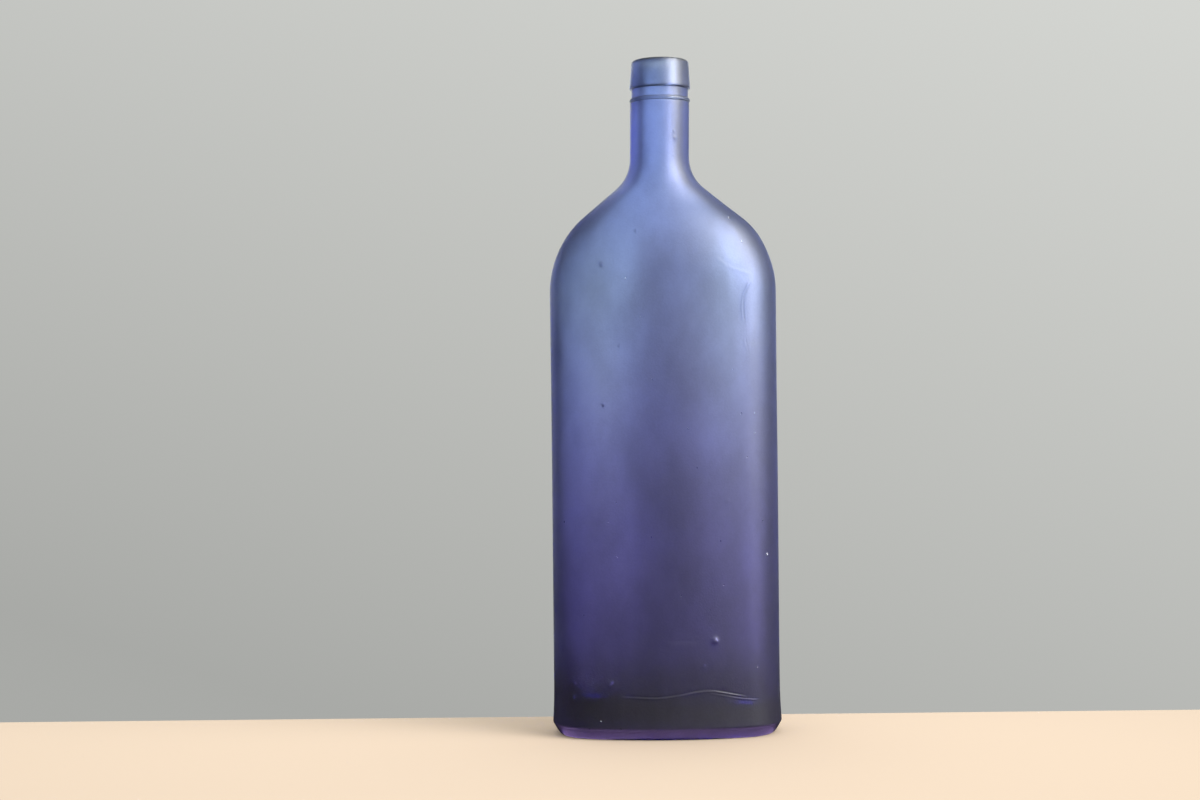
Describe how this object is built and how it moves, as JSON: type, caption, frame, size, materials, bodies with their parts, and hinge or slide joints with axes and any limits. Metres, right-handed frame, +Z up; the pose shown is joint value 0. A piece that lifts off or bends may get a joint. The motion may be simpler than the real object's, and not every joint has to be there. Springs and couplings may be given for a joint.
{
  "type": "flask-shaped glass bottle",
  "caption": "Tall flask-shaped blue frosted glass bottle with a round neck, applied tapered lip and string ring, open cork bore.",
  "frame": {"origin": "middle of the base, on the plane that the bottle stands on", "axes": "+Z up through the mouth, X along the broad faces, Y through them; the front face looks along -Y"},
  "size_m": [0.1142, 0.0582, 0.335],
  "materials": {
    "frosted_body_glass": "satin, sea-worn outside, fire-polished inside",
    "frosted_lip_glass": "satin, sea-worn outside"
  },
  "bodies": {
    "root": {"blown_body": "frosted_body_glass", "applied_lip": "frosted_lip_glass", "string_ring": "frosted_lip_glass"}
  },
  "joints": []
}
